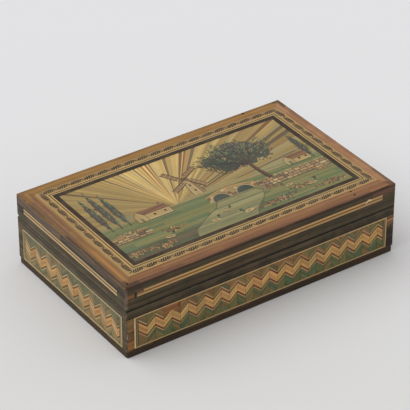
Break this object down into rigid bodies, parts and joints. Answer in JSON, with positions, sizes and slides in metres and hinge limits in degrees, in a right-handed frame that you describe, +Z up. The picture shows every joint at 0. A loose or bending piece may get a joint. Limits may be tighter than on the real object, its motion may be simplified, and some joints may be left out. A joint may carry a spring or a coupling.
{
  "type": "sewing box",
  "caption": "Rectangular wooden sewing box skinned in straw inlay, with zigzag side panels, a pictured lid on hidden back hinges and a lift-out tray with a pincushion.",
  "frame": {"origin": "centre of the underside of the closed box", "axes": "+X along the box's long side, -Y out of the front, +Z up"},
  "size_m": [0.27, 0.167, 0.069],
  "materials": {
    "carcass_wood": "aged, waxed",
    "stained_wood": "stained black-brown, rubbed",
    "dark_straw": "dyed flattened straw, satin",
    "light_straw": "natural flattened straw, satin",
    "golden_straw": "golden flattened straw, satin",
    "green_straw": "green dyed straw, satin",
    "red_straw": "red-brown dyed straw, worn satin",
    "ornament_straw": "pale straw with dark printed scrolls",
    "black_straw": "black dyed straw, satin",
    "picture_straw": "straw picture in natural and dyed straw",
    "hinge_brass": "tarnished brass",
    "lining_paper": "matt coloured paper",
    "tray_wood": "plain waxed wood",
    "cushion_cloth": "velvet"
  },
  "bodies": {
    "base": {"base_bottom_board": "stained_wood", "base_front_wall": "carcass_wood", "base_right_wall": "carcass_wood", "base_back_wall": "carcass_wood", "base_left_wall": "carcass_wood", "base_front_surround": "dark_straw", "base_right_surround": "dark_straw", "base_back_surround": "dark_straw", "base_left_surround": "dark_straw", "base_front_panel_line": "light_straw", "base_right_panel_line": "light_straw", "base_back_panel_line": "light_straw", "base_left_panel_line": "light_straw", "base_front_zigzag_ground": "green_straw", "base_right_zigzag_ground": "green_straw", "base_back_zigzag_ground": "green_straw", "base_left_zigzag_ground": "green_straw", "base_front_zigzag_ribbon": "golden_straw", "base_right_zigzag_ribbon": "golden_straw", "base_back_zigzag_ribbon": "golden_straw", "base_left_zigzag_ribbon": "golden_straw", "tray_ledge_left": "tray_wood", "tray_ledge_right": "tray_wood", "hinge_left_base_leaf": "hinge_brass", "hinge_left_pin": "hinge_brass", "hinge_right_base_leaf": "hinge_brass", "hinge_right_pin": "hinge_brass"},
    "lid": {"lid_board": "carcass_wood", "lid_front_wall": "carcass_wood", "lid_right_wall": "carcass_wood", "lid_back_wall": "carcass_wood", "lid_left_wall": "carcass_wood", "lid_front_skin": "dark_straw", "lid_right_skin": "dark_straw", "lid_back_skin": "dark_straw", "lid_left_skin": "dark_straw", "lid_front_stringing": "light_straw", "lid_right_stringing": "light_straw", "lid_back_stringing": "light_straw", "lid_left_stringing": "light_straw", "lid_front_border": "red_straw", "lid_right_border": "red_straw", "lid_back_border": "red_straw", "lid_left_border": "red_straw", "lid_top_ornament_band": "ornament_straw", "lid_top_double_line": "light_straw", "lid_top_black_frame": "black_straw", "lid_top_picture": "picture_straw", "lid_lining": "lining_paper", "hinge_left_lid_leaf": "hinge_brass", "hinge_right_lid_leaf": "hinge_brass"},
    "tray": {"tray_floor": "tray_wood", "tray_front_wall": "tray_wood", "tray_right_wall": "tray_wood", "tray_back_wall": "tray_wood", "tray_left_wall": "tray_wood", "tray_grip_divider": "tray_wood", "tray_left_divider": "tray_wood", "tray_right_divider": "tray_wood", "tray_pincushion": "cushion_cloth"}
  },
  "joints": [
    {"name": "lid_hinge", "type": "hinge", "parent": "base", "child": "lid", "pos_m": [0, 0.0822, 0.0468], "axis": [-1, 0, 0], "range_deg": [0, 105]},
    {"name": "tray_lift", "type": "slide", "parent": "base", "child": "tray", "axis": [0, 0, 1], "range_m": [0, 0.016]}
  ]
}
